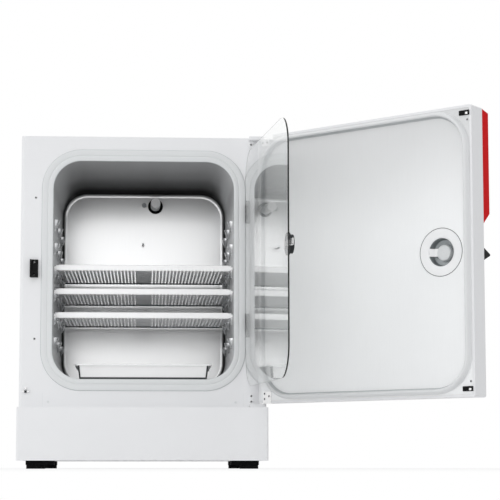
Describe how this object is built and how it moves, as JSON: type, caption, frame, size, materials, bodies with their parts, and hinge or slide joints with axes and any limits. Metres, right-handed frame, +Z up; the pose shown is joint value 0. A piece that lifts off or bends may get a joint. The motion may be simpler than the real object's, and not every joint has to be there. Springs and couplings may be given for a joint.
{
  "type": "carbon dioxide incubator",
  "caption": "Benchtop cell-culture incubator with an insulated outer door, an inner glass door, a round-cornered steel chamber, perforated shelves and a water pan.",
  "frame": {"origin": "on the bench, at the centre of the four feet's socket pattern, under the middle of the base", "axes": "+X to the right as seen from the front, +Y from the front to the rear, +Z up"},
  "size_m": [1.2229, 1.2664, 0.92],
  "materials": {
    "white_paint": "satin powder coat",
    "door_panel": "satin powder coat",
    "chamber_steel": "electropolished",
    "shelf_steel": "electropolished",
    "bright_steel": "polished",
    "grey_seal": "matte silicone",
    "black_rubber": "matte",
    "black_plastic": "matte",
    "dark_plastic": "matte",
    "white_silicone": "matte",
    "red_plastic": "gloss",
    "display_glass": "gloss",
    "key_grey": "matte",
    "clear_glass": "clear",
    "heating_mat": "matte",
    "insulation": "mineral wool",
    "dark_metal": "matte",
    "circuit_board": "satin",
    "brass": "polished"
  },
  "bodies": {
    "cabinet": {"base_housing": "white_paint", "base_bottom_plate": "white_paint", "feet": "black_rubber", "housing_floor": "white_paint", "housing_wrap": "white_paint", "rear_panel": "white_paint", "front_frame": "white_paint", "chamber_seal_ring": "grey_seal", "chamber_liner": "chamber_steel", "chamber_heating_mats": "heating_mat", "cabinet_insulation": "insulation", "shelf_supports": "chamber_steel", "outer_hinge_brackets": "white_paint", "outer_hinge_bushings": "dark_plastic", "glass_hinge_brackets": "dark_plastic", "glass_hinge_pins": "bright_steel", "glass_latch_strike": "black_plastic", "front_fitting_screws": "bright_steel", "access_port_tube": "black_plastic", "chamber_sensor": "bright_steel", "gas_nozzle": "bright_steel", "gas_tube": "white_silicone", "gas_inlet_fitting": "brass", "gas_valve": "black_plastic", "gas_filter": "white_silicone", "power_supply": "dark_metal", "control_board": "circuit_board", "power_inlet": "black_plastic", "power_inlet_pins": "brass", "main_switch_frame": "black_plastic", "rear_panel_screws": "bright_steel"},
    "outer_door": {"outer_door_shell": "white_paint", "outer_door_inner_panel": "door_panel", "outer_door_corner_catches": "black_plastic", "outer_door_hinge_plates": "bright_steel", "outer_door_screws": "bright_steel", "outer_door_gasket": "grey_seal", "outer_door_latch_cup": "door_panel", "outer_door_insulation": "insulation", "outer_door_heating_mat": "heating_mat", "control_panel_housing": "red_plastic", "control_panel_display": "display_glass", "outer_door_handle": "black_plastic"},
    "glass_door": {"glass_pane": "clear_glass", "glass_hinge_knuckles": "dark_plastic", "glass_latch_spindle": "bright_steel"},
    "glass_latch": {"glass_latch_tongue": "bright_steel", "glass_latch_knob": "dark_plastic"},
    "shelf_upper": {"shelf_upper": "shelf_steel"},
    "shelf_middle": {"shelf_middle": "shelf_steel"},
    "shelf_lower": {"shelf_lower": "shelf_steel"},
    "water_pan": {"water_pan": "shelf_steel"},
    "key_back": {"panel_key_back": "key_grey"},
    "key_menu": {"panel_key_menu": "key_grey"},
    "key_standby": {"panel_key_standby": "key_grey"},
    "rocker": {"main_switch_rocker": "red_plastic"},
    "stopper": {"access_port_stopper": "white_silicone"}
  },
  "joints": [
    {"name": "outer_door_hinge", "type": "hinge", "parent": "cabinet", "child": "outer_door", "pos_m": [0.3276, -0.3076, 0.54], "axis": [0, 0, 1], "range_deg": [-138.9, 0]},
    {"name": "glass_door_hinge", "type": "hinge", "parent": "cabinet", "child": "glass_door", "pos_m": [0.2846, -0.2945, 0.55], "axis": [0, 0, 1], "range_deg": [-97.23, 0]},
    {"name": "glass_latch_turn", "type": "hinge", "parent": "glass_door", "child": "glass_latch", "pos_m": [0.35357, -0.81909, 0.549], "axis": [-0.992, -0.1259, 0], "range_deg": [-20, 70]},
    {"name": "shelf_upper_slide", "type": "slide", "parent": "cabinet", "child": "shelf_upper", "axis": [0, -1, 0], "range_m": [0, 0.3]},
    {"name": "shelf_middle_slide", "type": "slide", "parent": "cabinet", "child": "shelf_middle", "axis": [0, -1, 0], "range_m": [0, 0.3]},
    {"name": "shelf_lower_slide", "type": "slide", "parent": "cabinet", "child": "shelf_lower", "axis": [0, -1, 0], "range_m": [0, 0.3]},
    {"name": "water_pan_slide", "type": "slide", "parent": "cabinet", "child": "water_pan", "axis": [0, -1, 0], "range_m": [0, 0.25]},
    {"name": "key_back_press", "type": "slide", "parent": "outer_door", "child": "key_back", "axis": [-0.6574, -0.7536, 0], "range_m": [0, 0.0015], "stiffness_N_per_m": 600},
    {"name": "key_menu_press", "type": "slide", "parent": "outer_door", "child": "key_menu", "axis": [-0.6574, -0.7536, 0], "range_m": [0, 0.0015], "stiffness_N_per_m": 600},
    {"name": "key_standby_press", "type": "slide", "parent": "outer_door", "child": "key_standby", "axis": [-0.6574, -0.7536, 0], "range_m": [0, 0.0015], "stiffness_N_per_m": 600},
    {"name": "rocker_tilt", "type": "hinge", "parent": "cabinet", "child": "rocker", "pos_m": [-0.15, 0.3545, 0.092], "axis": [1, 0, 0], "range_deg": [-18, 0]},
    {"name": "stopper_draw", "type": "slide", "parent": "cabinet", "child": "stopper", "axis": [0, 1, 0], "range_m": [0, 0.04]}
  ],
  "couplings": [
    {"joint": "glass_door_hinge", "follows": "outer_door_hinge", "ratio": 0.7}
  ]
}
